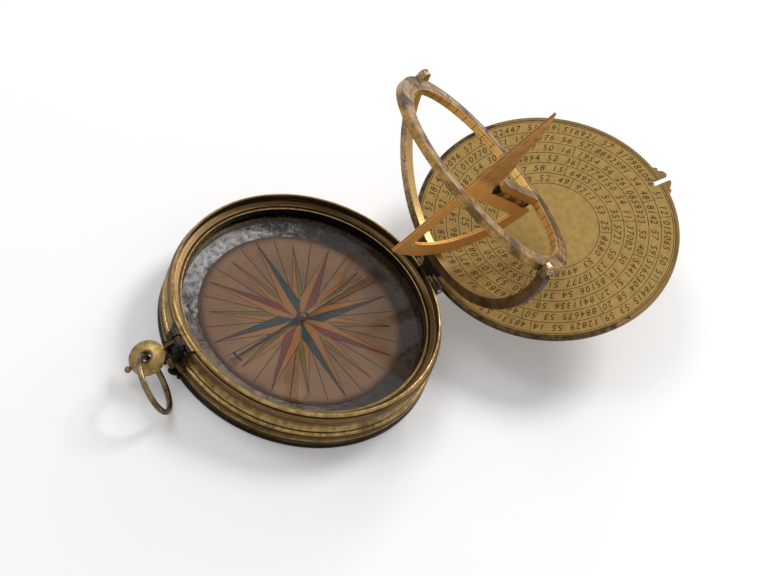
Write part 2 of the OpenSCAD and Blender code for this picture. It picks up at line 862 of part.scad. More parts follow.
module lower_cover() {
  color([0.24, 0.18, 0.12])
    difference() {
      union() {
        rotate_extrude()
          polygon([[0, 0], [cover_r - 0.4, 0], [cover_r, 0.4], [cover_r, cover_t - 0.3],
            [cover_r - 0.3, cover_t], [cover_r - cover_lip, cover_t],
            [cover_r - cover_lip, cover_web], [0, cover_web]]);
        for (s = [0, 1])
          translate([lid_r - cover_r + 0.25, 0, 0.2])
            mirror([0, s, 0])
              linear_extrude(cover_t - 0.5)
                polygon(ear_outline());
      }
      span([-far, -slot_w / 2, -1], [-cover_r + 1, slot_w / 2, cover_t + 1]);
    }
}

// Middle knuckle of the lower hinge, on the cover
module cover_leaf() {
  color(iron)
    difference() {
      union() {
        along_y(low_hinge_x, low_hinge_z, low_knuckle_r, -cover_knuckle_half, cover_knuckle_half);
        span([cover_r - 0.2, -cover_knuckle_half, low_hinge_z - low_knuckle_r],
          [low_hinge_x, cover_knuckle_half, low_hinge_z]);
      }
      along_y(low_hinge_x, low_hinge_z, low_pin_r + run_gap, -far, far);
      translate([0, 0, -1])
        cylinder(r = cover_r, h = far);
    }
}

module case_low_hinge() {
  start = cover_knuckle_half + side_gap;
  color(iron)
    difference() {
      for (s = [-1, 1]) {
        along_y(low_hinge_x, low_hinge_z, low_knuckle_r, min(s * start, s * low_barrel_half),
          max(s * start, s * low_barrel_half));
        span([wall_r - 0.2, min(s * start, s * low_barrel_half), wall_bottom + run_gap],
          [low_hinge_x + low_pin_r, max(s * start, s * low_barrel_half), low_hinge_z + 1.4]);
      }
      along_y(low_hinge_x, low_hinge_z, low_pin_r + press_gap, -far, far);
      cylinder(r = wall_r + 0.2, h = far);
    }
}

module cover_pin() {
  color(steel)
    along_y(low_hinge_x, low_hinge_z, low_pin_r, -low_barrel_half - 0.1, low_barrel_half + 0.1);
}

case_wall();
case_floor();
compass_tray();
compass_card();
pivot_pin();
needle();
needle_cap();
glass();
bezel_ring();
case_hinge();
top_hinge_pin();
lid_plate();
lid_rim();
lid_hinge_leaf();
lid_rivets();
support_arc();
arc_bracket();
pivot_screw_far();
pivot_screw_near();
hour_ring();
hinge_bar();
gnomon_pin();
gnomon();
hasp_bracket();
bracket_rivets();
hasp_pin();
hasp();
hasp_finial();
bail_ring();
lower_cover();
cover_leaf();
case_low_hinge();
cover_pin();
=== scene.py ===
"""Looks of the pocket compendium: finishes, engraved work, compass card, floor, light and camera."""

import json
import logging
import math
import random
from dataclasses import dataclass, field
from enum import Enum
from functools import reduce
from typing import Iterable, Optional, Sequence, Union

import bmesh
import bpy
from mathutils import Matrix, Vector

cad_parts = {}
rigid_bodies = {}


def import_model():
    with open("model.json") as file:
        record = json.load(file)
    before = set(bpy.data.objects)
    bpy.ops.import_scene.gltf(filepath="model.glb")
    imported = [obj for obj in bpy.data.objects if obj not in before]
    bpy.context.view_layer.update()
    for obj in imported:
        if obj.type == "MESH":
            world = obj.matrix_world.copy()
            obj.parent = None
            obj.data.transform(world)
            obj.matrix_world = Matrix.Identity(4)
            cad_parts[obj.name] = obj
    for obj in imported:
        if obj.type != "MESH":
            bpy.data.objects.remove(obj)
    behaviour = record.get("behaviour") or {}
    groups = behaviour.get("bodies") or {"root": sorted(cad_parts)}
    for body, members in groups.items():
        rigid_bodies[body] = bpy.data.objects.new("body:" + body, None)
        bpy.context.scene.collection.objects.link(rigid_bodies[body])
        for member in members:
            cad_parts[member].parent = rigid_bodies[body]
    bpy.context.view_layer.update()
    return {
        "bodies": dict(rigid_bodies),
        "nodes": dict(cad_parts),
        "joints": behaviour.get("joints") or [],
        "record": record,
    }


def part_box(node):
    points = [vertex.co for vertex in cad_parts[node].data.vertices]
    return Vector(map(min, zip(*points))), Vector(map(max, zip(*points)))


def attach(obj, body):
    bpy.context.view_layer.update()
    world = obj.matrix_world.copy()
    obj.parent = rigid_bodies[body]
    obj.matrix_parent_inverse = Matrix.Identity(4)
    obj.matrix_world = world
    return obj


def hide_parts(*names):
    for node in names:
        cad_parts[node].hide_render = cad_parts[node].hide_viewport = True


LOG = logging.getLogger("compendium")
MM = 0.001
PER_MM = 1000.0
Triple = tuple[float, float, float]
Colour = Union[int, Triple]  # 0xRRGGBB, or linear values
Pair = tuple[float, float]
Socket = bpy.types.NodeSocket
Shape = bmesh.types.BMesh
Material = bpy.types.Material
Value = Union[float, Socket]


def linear(colour: Colour) -> Triple:
    """Turns a colour into the linear values that shaders take.

    Args:
        colour: A colour as 0xRRGGBB, or linear values, which stay.

    Returns:
        The linear values.
    """
    if not isinstance(colour, int):
        return colour
    low, gamma = 0.04045, 2.4
    parts = [channel / 255 for channel in colour.to_bytes(3, "big")]
    return tuple(c / 12.92 if c <= low else ((c + 0.055) / 1.055) ** gamma for c in parts)


def rotation(angle: float, axis: str = "Z") -> Matrix:
    """Turns about an axis, by degrees."""
    return Matrix.Rotation(math.radians(angle), 4, axis)


def linked(name: str, data: bpy.types.ID) -> bpy.types.Object:
    """Makes an object of a mesh, lamp, camera or text, and puts it in the scene."""
    thing = bpy.data.objects.new(name, data)
    bpy.context.scene.collection.objects.link(thing)
    return thing


class Axis(Enum):
    """What a zone is measured along: an axis, or away from z or from the gnomon's barrel."""

    X = "x"
    Y = "y"
    Z = "z"
    RADIUS = "radius"
    BARREL = "barrel"


@dataclass(frozen=True)
class Zone:
    """A stretch of a surface that gets its own colour: some zones give the metal's own tone, some are
    painted light and shade.
    """

    axis: Axis  # what the stretch is measured along
    low: float  # where it starts, in millimetres
    high: float  # where it ends, in millimetres
    colour: Colour  # its colour
    amount: float = 0.8  # how much of the colour shows, 0 to 1
    soft: float = 0.1  # width of its edges, in millimetres
    ragged: float = 0.15  # how far noise moves its edges, in millimetres
    within: Optional[Pair] = None  # stretch along x outside which it isn't seen, if any


@dataclass(frozen=True)
class Frames:
    """Where the moving bodies stand in the photograph's pose, in millimetres and degrees."""

    hinge: tuple[float, float, float] = (33.2, 0.0, 11.45)
    lid_angle: float = 167.5
    lid_z: float = 12.45
    dial_reach: float = 35.8
    arc_angle: float = 96.2
    ring_angle: float = 57.6
    fold_axis: float = 2.0
    hasp: tuple[float, float, float] = (-34.3, 0.0, 11.0)
    hasp_drop: float = 32.3
    hasp_len: float = 8.07

    def lid(self) -> Matrix:
        """The closed lid's frame, turned open."""
        hinge = Vector(self.hinge)
        turn = rotation(self.lid_angle, "Y")
        return Matrix.Translation(hinge) @ turn @ Matrix.Translation(-hinge)

    def table(self) -> Matrix:
        """The lid's engraved face: its centre, with z out of the face."""
        return self.lid() @ Matrix.Translation((0, 0, self.lid_z)) @ rotation(180, "X")

    def arc(self) -> Matrix:
        """The support arc's frame, with its centre as the origin."""
        turn = rotation(self.arc_angle, "Y")
        return Matrix.Translation(self.hinge) @ turn @ Matrix.Translation((-self.dial_reach, 0, 0))

    def ring(self) -> Matrix:
        """The hour ring's frame: noon along x, the polar axis along z."""
        return self.arc() @ rotation(-self.ring_angle, "Y")

    def latch(self) -> Matrix:
        """The hasp's frame: shank along -x, the disc's axis along z."""
        turn = rotation(-self.hasp_drop, "Y")
        return Matrix.Translation(self.hasp) @ turn


FRAMES = Frames()
HOME = Matrix.Identity(4)
BLACKNESS: Colour = (0.0, 0.0, 0.0)
FINE_STEPS = 128  # steps of a full turn
ROUNDED_FROM = 30.0  # edges sharper than this angle are rounded, degrees
WHITENESS: Colour = (1.0, 1.0, 1.0)
SEEING = ("Camera", "Glossy", "Transmission")  # rays that see the white room
OUTSIDE = 20.0  # how fast a zone ends beyond its stretch along x


class Nodes:
    """Adds nodes to a tree, step by step."""

    def __init__(self, tree: bpy.types.NodeTree) -> None:
        """Empties the tree.

        Args:
            tree: The tree.
        """
        self.tree = tree
        tree.nodes.clear()

    def add(self, kind: str, inputs: Optional[dict] = None, **settings: str) -> bpy.types.Node:
        """Adds a node.

        Args:
            kind: Its type's name, without the leading ShaderNode.
            inputs: Values or outputs for its inputs, by number or name.
            **settings: Its properties.

        Returns:
            The node.
        """
        node = self.tree.nodes.new(f"ShaderNode{kind}")
        for name, setting in settings.items():
            setattr(node, name, setting)
        for key, value in (inputs or {}).items():
            self.put(node.inputs[key], value)
        return node

    def put(self, target: Socket, value: object) -> None:
        """Sets an input to a number or colour, or links it to an output.

        Args:
            target: The input.
            value: A number, a colour or an output socket.
        """
        if isinstance(value, Socket):
            self.tree.links.new(value, target)
        elif target.type == "RGBA":
            target.default_value = (*linear(value), 1.0)
        else:
            target.default_value = value

    def math(self, operation: str, first: Value, second: Value = 0.0) -> Socket:
        """Combines two values by one of Blender's operations."""
        return self.add("Math", {0: first, 1: second}, operation=operation).outputs[0]

    def total(self, *terms: tuple[Value, float]) -> Socket:
        """Adds values up, each times its weight."""
        parts = [value if weight == 1.0 else self.math("MULTIPLY", value, weight)
                 for value, weight in terms]
        return reduce(lambda first, second: self.math("ADD", first, second), parts)

    def rays(self, *kinds: str) -> Socket:
        """Gives 1 for rays of any of the kinds, such as Camera or Glossy, and 0 for others."""
        path = self.add("LightPath")
        return reduce(lambda first, second: self.math("MAXIMUM", first, second),
                      [path.outputs[f"Is {kind} Ray"] for kind in kinds])

    def shade(self, kind: str, colour: Colour) -> Socket:
        """Adds a plain shader or background of one colour."""
        return self.add(kind, {0: colour}).outputs[0]

    def blend(self, share: Value, first: Socket, second: Socket,
              output: bpy.types.Node) -> None:
        """Mixes two shaders into the output.

        Args:
            share: Share of the second shader.
            first: First shader.
            second: Second shader.
            output: Output node of the tree.
        """
        node = self.add("MixShader", {0: share, 1: first, 2: second})
        self.put(output.inputs[0], node.outputs[0])


class Graph(Nodes):
    """Builds one material, in millimetres of a piece's own frame."""

    def __init__(self, name: str, place: Matrix = HOME) -> None:
        """Starts the material.

        Args:
            name: Name of the material.
            place: Matrix from the piece's own frame to the shared one, in millimetres.
        """
        self.material = bpy.data.materials.new(name)
        self.material.use_nodes = True
        super().__init__(self.material.node_tree)
        self.output = self.add("OutputMaterial")
        self.shader = self.add("BsdfPrincipled")
        self.put(self.output.inputs[0], self.shader.outputs[0])
        back = place.inverted()
        self.place = self.add("Mapping", {
            "Vector": self.add("TexCoord").outputs["Object"], "Location": back.to_translation(),
            "Rotation": back.to_euler(), "Scale": (PER_MM, PER_MM, PER_MM)}).outputs[0]

    def noise(self, scale: float, detail: float, rough: float, distortion: float = 0.0) -> Socket:
        """Adds noise of 0 to 1: lumps per millimetre, octaves, weight of the fine ones, and twist."""
        inputs = {"Scale": scale, "Detail": detail, "Roughness": rough, "Distortion": distortion}
        return self.add("TexNoise", {"Vector": self.place, **inputs}).outputs[0]

    def span(self, value: Value, low: float, high: float, start: Value = 0.0,
             end: Value = 1.0) -> Socket:
        """Maps low to high smoothly to start to end."""
        inputs = {"Value": value, "From Min": low, "From Max": high, "To Min": start, "To Max": end}
        return self.add("MapRange", inputs, interpolation_type="SMOOTHSTEP").outputs[0]

    def mix(self, factor: Value, first: object, second: object) -> Socket:
        """Mixes two colours, with the factor as the second one's share."""
        return self.add("Mix", {0: factor, 6: first, 7: second}, data_type="RGBA").outputs[2]

    def apart(self) -> bpy.types.NodeOutputs:
        """Gives the three coordinates in the piece's own frame, in millimetres."""
        return self.add("SeparateXYZ", {0: self.place}).outputs

    def along(self, axis: Axis) -> Socket:
        """Measures along an axis or away from one, in the piece's own frame.

        Args:
            axis: What to measure along.

        Returns:
            The measure, in millimetres.
        """
        x, y, z = self.apart()
        if axis in (Axis.X, Axis.Y, Axis.Z):
            return {Axis.X: x, Axis.Y: y, Axis.Z: z}[axis]
        pair = (y, self.math("ADD", z, FRAMES.fold_axis)) if axis is Axis.BARREL else (x, y)
        squares = [(self.math("MULTIPLY", value, value), 1.0) for value in pair]
        return self.math("SQRT", self.total(*squares))

    def turned(self, fine: float = 2.6, long: float = 2.4) -> Socket:
        """Adds noise drawn out into fine lines about the z axis, as a lathe leaves them.

        Args:
            fine: Lines per millimetre across.
            long: How often a line changes along its circle.

        Returns:
            The noise, 0 to 1.
        """
        x, y, z = self.apart()
        radius = self.along(Axis.RADIUS)
        far = self.math("MAXIMUM", radius, 0.01)
        round_z = [self.math("MULTIPLY", self.math("DIVIDE", part, far), long) for part in (x, y)]
        across, up = self.math("MULTIPLY", radius, fine), self.math("MULTIPLY", z, fine)
        spot = self.add("CombineXYZ", {0: across, 1: round_z[0], 2: round_z[1]}).outputs[0]
        inputs = {"Vector": spot, "W": up, "Scale": 1.0, "Detail": 3.0}
        return self.add("TexNoise", inputs, noise_dimensions="4D").outputs[0]

    def zone(self, zone: Zone, noise: Socket) -> Socket:
        """Gives the share of a zone's colour.

        Args:
            zone: The zone.
            noise: Noise that moves its edges.

        Returns:
            The share, 0 to the zone's amount.
        """
        moved = self.math("MULTIPLY", self.math("SUBTRACT", noise, 0.5), 2 * zone.ragged)
        where = self.math("ADD", self.along(zone.axis), moved)
        if zone.within is not None:
            middle, half = sum(zone.within) / 2, (zone.within[1] - zone.within[0]) / 2
            away = self.math("ABSOLUTE", self.math("SUBTRACT", self.along(Axis.X), middle))
            away = self.math("MAXIMUM", self.math("SUBTRACT", away, half), 0.0)
            where = self.total((where, 1.0), (away, OUTSIDE))
        rise = self.span(where, zone.low - zone.soft, zone.low + zone.soft, 0.0, zone.amount)
        fall = self.span(where, zone.high - zone.soft, zone.high + zone.soft, 1.0, 0.0)
        return self.math("MULTIPLY", rise, fall)

    def bump(self, height: Value, depth: float, strength: float) -> None:
        """Gives the surface a relief, whose height of 0 to 1 is as deep as depth, in millimetres."""
        node = self.add("Bump", {"Strength": strength, "Distance": depth * MM, "Height": height})
        self.put(self.shader.inputs["Normal"], node.outputs[0])

    def finish(self, colour: object, roughness: Value, metallic: float = 0.0,
               **sockets: float) -> Material:
        """Connects the shader and gives the material.

        Args:
            colour: Base colour.
            roughness: Roughness.
            metallic: Metallic.
            **sockets: Other inputs of the shader, with _ for a space.

        Returns:
            The material.
        """
        self.put(self.shader.inputs["Base Color"], colour)
        self.put(self.shader.inputs["Roughness"], roughness)
        for name, value in {"Metallic": metallic, **sockets}.items():
            self.shader.inputs[name.replace("_", " ")].default_value = value
        return self.material


@dataclass(frozen=True)
class Metal:
    """Worn metal with duller patches, stains and a fine relief."""

    name: str  # name of the finish
    bright: Colour  # colour where it's rubbed
    dull: Colour  # colour of the duller patches
    stain: Colour  # colour of the dark patina
    stained: float = 0.35  # share of the surface with patina, 0 to 1
    rough: float = 0.3  # roughness where it's rubbed
    grain: float = 0.35  # strength of the relief
    metallic: float = 0.95  # how metallic it is
    zones: tuple[Zone, ...] = ()  # stretches with their own colour, some of them painted light and shade
    turned: float = 0.0  # strength of the lines left by the lathe, 0 to 1
    pits: float = 0.5  # strength of the dark specks, 0 to 1
    pitted: float = 0.1  # share of the surface with specks, 0 to 1
    tarnish: float = 0.38  # how far the whole surface has dulled, 0 to 1

    def make(self, place: Matrix = HOME) -> Material:
        """Makes the material.

        Args:
            place: Matrix from the piece's own frame to the shared one, in millimetres.

        Returns:
            The material.
        """
        graph = Graph(self.name, place)
        broad = graph.noise(0.11, 5.0, 0.6, distortion=0.6)
        middle = graph.noise(0.7, 5.0, 0.6)
        fine = graph.noise(4.5, 5.0, 0.65)
        colour = graph.mix(graph.span(middle, 0.36, 0.66), self.bright, self.dull)
        cloud = graph.total((broad, 0.6), (fine, 0.4))
        edge = 0.62 - 0.24 * self.stained
        stain = graph.span(cloud, edge, edge + 0.14, 0.0, min(1.0, 0.35 + self.stained))
        colour = graph.mix(stain, colour, self.stain)
        dark = stain
        for zone in self.zones:
            share = graph.zone(zone, middle)
            colour = graph.mix(share, colour, zone.colour)
            dark = graph.math("MAXIMUM", dark, share)
        edge = 0.72 - 0.3 * self.pitted
        specks = graph.span(graph.noise(2.4, 3.0, 0.5), edge, edge + 0.07, 0.0, self.pits)
        specks = graph.math("MULTIPLY", specks, graph.math("SUBTRACT", 1.0, dark))
        colour = graph.mix(specks, colour, self.stain)
        worn = graph.span(fine, 0.3, 0.75, self.rough, self.rough + 0.16)
        rough = graph.total((worn, 1.0), (dark, 0.14))
        height = graph.total((fine, 0.6), (middle, 0.4))
        if self.turned:
            lines = graph.turned()
            colour = graph.mix(graph.span(lines, 0.5, 0.72, 0.0, self.turned), colour, self.stain)
            light = graph.span(graph.turned(3.4, 1.7), 0.56, 0.74, 0.0, self.turned)
            colour = graph.mix(light, colour, self.bright)
            height = graph.total((height, 1.0), (lines, 1.2 * self.turned))
        graph.bump(height, 0.06, self.grain)
        colour = graph.mix(self.tarnish, colour, BLACKNESS)
        return graph.finish(colour, rough, self.metallic)


@dataclass(frozen=True)
class Ink:
    """Dark wax or dirt in engraved lines, and the colours of the printed card."""

    name: str  # name of the finish
    colour: Colour  # main colour
    worn: Colour  # colour where it has worn away
    wear: float = 0.3  # share that has worn away, 0 to 1
    rough: float = 0.7  # roughness

    def make(self, place: Matrix = HOME) -> Material:
        """Makes the material.

        Args:
            place: Matrix from the piece's own frame to the shared one, in millimetres.

        Returns:
            The material.
        """
        graph = Graph(self.name, place)
        lumps = graph.noise(0.9, 4.0, 0.6)
        fine = graph.noise(7.0, 3.0, 0.6)
        cloud = graph.total((lumps, 0.6), (fine, 0.4))
        edge = 0.64 - 0.3 * self.wear
        colour = graph.mix(graph.span(cloud, edge, edge + 0.14, 0.0, 0.85), self.colour, self.worn)
        graph.bump(fine, 0.01, 0.3)
        rough = graph.span(fine, 0.3, 0.7, self.rough, min(1.0, self.rough + 0.15))
        return graph.finish(colour, rough, Specular_IOR_Level=0.1)


@dataclass(frozen=True)
class Paper:
    """Aged card with stains, darker at its edge."""

    name: str  # name of the finish
    colour: Colour  # main colour
    aged: Colour  # colour of the faint patches
    stain: Colour  # colour of the stains
    edge: float  # radius from which the edge darkens, in millimetres
    reach: float  # radius of the card, in millimetres

    def make(self, place: Matrix = HOME) -> Material:
        """Makes the material.

        Args:
            place: Matrix from the piece's own frame to the shared one, in millimetres.

        Returns:
            The material.
        """
        graph = Graph(self.name, place)
        broad = graph.noise(0.09, 5.0, 0.6, distortion=1.0)
        fibres = graph.noise(6.0, 6.0, 0.7)
        colour = graph.mix(graph.span(broad, 0.35, 0.7), self.colour, self.aged)
        colour = graph.mix(graph.span(fibres, 0.45, 0.8, 0.0, 0.35), colour, self.stain)
        blots = graph.noise(0.35, 5.0, 0.6, distortion=0.5)
        colour = graph.mix(graph.span(blots, 0.6, 0.72, 0.0, 0.5), colour, self.stain)
        rim = graph.total((graph.along(Axis.RADIUS), 1.0), (broad, 1.6))
        rim = graph.span(rim, self.edge, self.reach + 0.8, 0.0, 0.75)
        colour = graph.mix(rim, colour, self.stain)
        graph.bump(fibres, 0.03, 0.35)
        return graph.finish(colour, graph.span(fibres, 0.3, 0.7, 0.75, 0.95), Specular_IOR_Level=0.05)


# Colours of the case's dark groove lines: painted shade under the mouldings, together with dirt in the
# grooves.
NEAR_BLACK = 0x1E160E
GROOVE_SHADE_AND_DIRT = 0x1A1610

WALL = Metal(
    "turned_case_brass", 0xCEAC70, 0x9E804E, 0x4A3923, 0.4, 0.2, 0.3,
    zones=(
        # The dark lines at z 1.8-2.78, 5.75-6.05, 8.95-9.45 and 11.0-11.3 are painted shade beneath
        # the protruding edges, together with dirt in the grooves.
        Zone(Axis.Z, 1.8, 2.78, NEAR_BLACK, 0.92, 0.1, 0.08),
        Zone(Axis.Z, 3.3, 5.0, 0x544028, 0.85, 0.12, 0.15),
        Zone(Axis.Z, 5.75, 6.05, NEAR_BLACK, 0.75, 0.1, 0.08),
        Zone(Axis.Z, 8.95, 9.45, NEAR_BLACK, 0.9, 0.1, 0.08),
        Zone(Axis.Z, 9.5, 10.9, 0x5E472E, 0.8, 0.2, 0.3),
        Zone(Axis.Z, 11.0, 11.3, GROOVE_SHADE_AND_DIRT, 0.9, 0.08, 0.05),
        Zone(Axis.RADIUS, 29.5, 31.5, 0x503D28, 0.8, 0.1, 0.2),
        Zone(Axis.RADIUS, 31.6, 31.84, 0x362A20, 0.8, 0.04, 0.02),
    ),
    turned=0.6,
)
BEZEL = Metal(
    "bezel_brass", 0xD6B478, 0xA88650, 0x544228, 0.25, 0.22, 0.2,
    zones=(
        Zone(Axis.Z, 0.0, 9.9, 0x181411, 1.0, 0.04, 0.01),
        Zone(Axis.RADIUS, 29.68, 32.0, 0x544128, 0.8, 0.05, 0.1),
    ),
    turned=0.4,
)
PLATE = Metal(
    "engraved_plate_brass", 0xAF8F52, 0xA18249, 0x715931, 0.18, 0.4, 0.22, 0.85,
    zones=(
        Zone(Axis.RADIUS, 31.0, 31.9, 0x705834, 0.5, 0.3, 0.3),
        Zone(Axis.RADIUS, 31.9, 33.4, 0x4C3C26, 0.7, 0.15, 0.2),
    ),
    turned=0.15,
)
RIM = Metal(
    "lid_rim_brass", 0xA68858, 0x5C482C, 0x221C15, 0.6, 0.2, 0.25,
    zones=(
        # The rim is darkened all round, then lightened on the half away from the hinge (x below -2) as
        # a painted highlight, so the other half stays in painted shade.
        Zone(Axis.RADIUS, 20.0, 33.0, 0x382C1E, 0.6, 0.1, 0.2),
        Zone(Axis.X, -40.0, -2.0, 0xA48450, 0.75, 1.0, 14.0),
    ),
    turned=0.5,
)
RING = Metal(
    "hour_ring_brass", 0xD2A05A, 0x926E3C, 0x2E2514, 0.72, 0.25, 0.4,
    zones=(
        Zone(Axis.RADIUS, 20.0, 24.68, 0xFFD07C, 0.9, 0.06, 0.02),
        Zone(Axis.RADIUS, 28.42, 34.0, 0x9E8050, 0.3, 0.05, 0.02),
    ),
    turned=0.5, pits=0.75, pitted=0.3, tarnish=0.2,
)
ARC = Metal(
    "support_arc_brass", 0xD0B080, 0xA28256, 0x3E2C1B, 0.5, 0.27, 0.5,
    zones=(
        Zone(Axis.RADIUS, 24.0, 28.88, 0xFFDA94, 0.8, 0.06, 0.02),
        # Darker brown where y is below 3, for x from 2.5 to 40: painted shade, together with a painted
        # reflection of the case.
        Zone(Axis.Y, -40.0, 3.0, 0x684A2B, 0.66, 6.0, 2.0, (2.5, 40.0)),
        Zone(Axis.RADIUS, 31.32, 40.0, 0x422F1D, 0.75, 0.05, 0.02),
    ),
    turned=0.2, pits=0.9, pitted=0.6, tarnish=0.25,
)
BARREL = (
    Zone(Axis.BARREL, 0.0, 1.3, 0x8C5C2E, 0.6, 0.12, 0.1, (9.3, 24.4)),
    Zone(Axis.BARREL, 0.0, 1.4, 0x1A1616, 0.95, 0.1, 0.1, (9.3, 10.5)),
    Zone(Axis.BARREL, 0.0, 1.4, 0x1E1816, 0.9, 0.1, 0.1, (23.2, 24.5)),
)
GNOMON = Metal(
    "gnomon_brass", 0xD2A060, 0xB88648, 0x825C32, 0.3, 0.4, 0.22,
    zones=(
        # Brighter orange below z -1.6, on the arms: a painted highlight, as the arms face the same way
        # as the blade.
        Zone(Axis.Z, -60.0, -1.6, 0xF6B662, 0.66, 0.8, 0.4),
        Zone(Axis.Y, -0.24, 0.24, 0x76542E, 0.8, 0.04, 0.04),
        *BARREL,
    ),
    pitted=0.0, tarnish=0.16,
)
BAR = Metal(
    "bar_brass", 0xA07C50, 0x82623E, 0x463220, 0.4, 0.34, 0.3,
    zones=(Zone(Axis.Z, -1.6, 0.7, 0xF0B05C, 0.75, 0.06, 0.05), *BARREL), turned=0.3,
)
GRIME = Metal("hinge_grime", 0x221A16, 0x1A1412, 0x0E0B0A, 0.5, 0.6, 0.3, 0.3)
CAP = Metal("cap_brass", 0x70482C, 0x463226, 0x1E1A1A, 0.5, 0.4, 0.3, 0.7)
BLACK = Metal("blackened_metal", 0x4A4234, 0x2C2A24, 0x10100F, 0.5, 0.3, 0.7, 0.85)
BRACKET = Metal(
    "bracket_metal", 0x40382C, 0x26221E, 0x0E0D0D, 0.5, 0.3, 0.7, 0.85,
    zones=(Zone(Axis.Z, 0.0, 5.4, 0x9C7C48, 0.75, 0.3, 0.9),),
)
LEAF = Metal("leaf_brass", 0x786038, 0x524028, 0x221A12, 0.5, 0.34, 0.5)
HASP = Metal(
    "hasp_brass", 0xBA9E66, 0x967A4A, 0x4A3A26, 0.5, 0.28, 0.35,
    zones=(
        Zone(Axis.RADIUS, 0.0, 1.75, 0x3E302A, 0.85, 0.35, 0.5),
        Zone(Axis.RADIUS, 4.6, 30.0, 0x2E261C, 0.9, 0.15, 0.1),
    ),
)
FINIAL = Metal("finial_brass", 0xA08654, 0x78623C, 0x423220, 0.35, 0.3, 0.25)
WIRE = Metal("bail_wire_brass", 0x9C8662, 0x705F44, 0x342C22, 0.45, 0.24, 0.35)
COVER = Metal("cover_brass", 0x2E2218, 0x1E1711, 0x0D0B09, 0.6, 0.4, 0.4, 0.85)
STEEL = Metal("worn_steel", 0xAAA8A4, 0x78726A, 0x3C3228, 0.35, 0.3, 0.3, 1.0)
BLUED = Metal(
    "blued_steel", 0x28282E, 0x1E1E23, 0x14100E, 0.4, 0.3, 0.2, 0.9,
    zones=(Zone(Axis.X, -40.0, -1.8, 0x706A60, 0.75, 0.3, 0.8),),
)
BRIGHT = Metal("bright_rivet_brass", 0xD6B880, 0xB08E58, 0x60482A, 0.2, 0.22, 0.2)

GRAVED = Ink("engraved_wax", 0x322412, 0x644E2A, 0.3)
FAINT = Ink("faint_engraving", 0x362A1E, 0x705A40, 0.5)
BLUE_INK = Ink("blue_ink", 0x323D3E, 0x524B44, 0.4, 0.85)
RED_INK = Ink("red_ink", 0x623834, 0x725042, 0.35, 0.85)
OLIVE_INK = Ink("olive_ink", 0x625836, 0x765C42, 0.4, 0.85)
ORANGE_INK = Ink("orange_ink", 0x8A5E3C, 0x7C5B44, 0.4, 0.85)
ROSE_INKS = {"blue": BLUE_INK, "red": RED_INK, "olive": OLIVE_INK, "orange": ORANGE_INK}
LINE_INK = Ink("line_ink", 0x2C1E18, 0x543E30, 0.3, 0.85)
CARD = Paper("aged_card", 0x82644B, 0x745843, 0x423026, 23.0, 24.6)


class Workshop:
    """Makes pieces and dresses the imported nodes, and keeps who rides on what."""

    def __init__(self, frame: dict) -> None:
        """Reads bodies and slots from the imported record.
        """
        self.nodes: dict[str, bpy.types.Object] = frame["nodes"]
        record = frame["record"]
        bodies = record["behaviour"]["bodies"]
        self.body = {node: body for body, nodes in bodies.items() for node in nodes}
        self.slots = {part["node"]: part["material_slot"] for part in record["subparts"]}

    def dress(self, node: str, material: Material) -> None:
        """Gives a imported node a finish.

        Args:
            node: The node.
            material: Its material.
        """
        mesh = self.nodes[node].data
        mesh.materials.clear()
        mesh.materials.append(material)
        LOG.info("dressed %s", node)

    def piece(self, name: str, shape: Shape, material: Material, body: str, slot: str,
              place: Matrix = HOME, smooth: float = 35.0) -> bpy.types.Object:
        """Makes an object from a bmesh whose units are millimetres in a body's own frame.

        Args:
            name: Name of the piece.
            shape: The shape, which is used up.
            material: Its material.
            body: Body that it rides on.
            slot: Material slot of the record; not used.
            place: Matrix from the piece's own frame to the shared one, in millimetres.
            smooth: Edges flatter than this angle are shaded smooth, degrees.

        Returns:
            The piece.
        """
        bmesh.ops.transform(shape, matrix=Matrix.Scale(MM, 4) @ place, verts=shape.verts)
        mesh = bpy.data.meshes.new(name)
        for edge in shape.edges:
            sharp = edge.is_manifold and edge.calc_face_angle(0.0) > math.radians(smooth)
            edge.smooth = not sharp
        for face in shape.faces:
            face.smooth = True
        shape.to_mesh(mesh)
        shape.free()
        mesh.materials.append(material)
        piece = linked(name, mesh)
        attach(piece, body)
        LOG.info("made %s: %d faces", name, len(mesh.polygons))
        return piece

    def softened(self, node: str, material: Material, width: float) -> None:
        """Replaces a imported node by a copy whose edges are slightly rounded.

        Args:
            node: The node.
            material: Its material.
            width: Width of the rounding, in millimetres.
        """
        shape = bmesh.new()
        shape.from_mesh(self.nodes[node].data)
        bmesh.ops.remove_doubles(shape, verts=shape.verts, dist=1e-6)
        bmesh.ops.dissolve_limit(shape, angle_limit=math.radians(0.6), verts=shape.verts,
                                 edges=shape.edges)
        bmesh.ops.transform(shape, matrix=Matrix.Scale(PER_MM, 4), verts=shape.verts)
        piece = self.piece(f"{node}_worn", shape, material, self.body[node], self.slots[node],
                           smooth=ROUNDED_FROM)
        bevel = piece.modifiers.new("rounding", "BEVEL")
        bevel.width = width * MM
        bevel.segments = 2
        bevel.limit_method = "ANGLE"
        bevel.angle_limit = math.radians(ROUNDED_FROM)
        bevel.harden_normals = True
        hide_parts(node)


def prism(outline: Sequence[Pair], low: float, high: float) -> Shape:
    """Makes a flat shape with a thickness.

    Args:
        outline: Corners of the shape, anticlockwise.
        low: Height of its underside.
        high: Height of its top.

    Returns:
        The shape.
    """
    shape = bmesh.new()
    face = shape.faces.new([shape.verts.new((x, y, low)) for x, y in outline])
    grown = bmesh.ops.extrude_face_region(shape, geom=[face])
    top = [item for item in grown["geom"] if isinstance(item, bmesh.types.BMVert)]
    bmesh.ops.translate(shape, vec=(0, 0, high - low), verts=top)
    bmesh.ops.recalc_face_normals(shape, faces=shape.faces)
    return shape


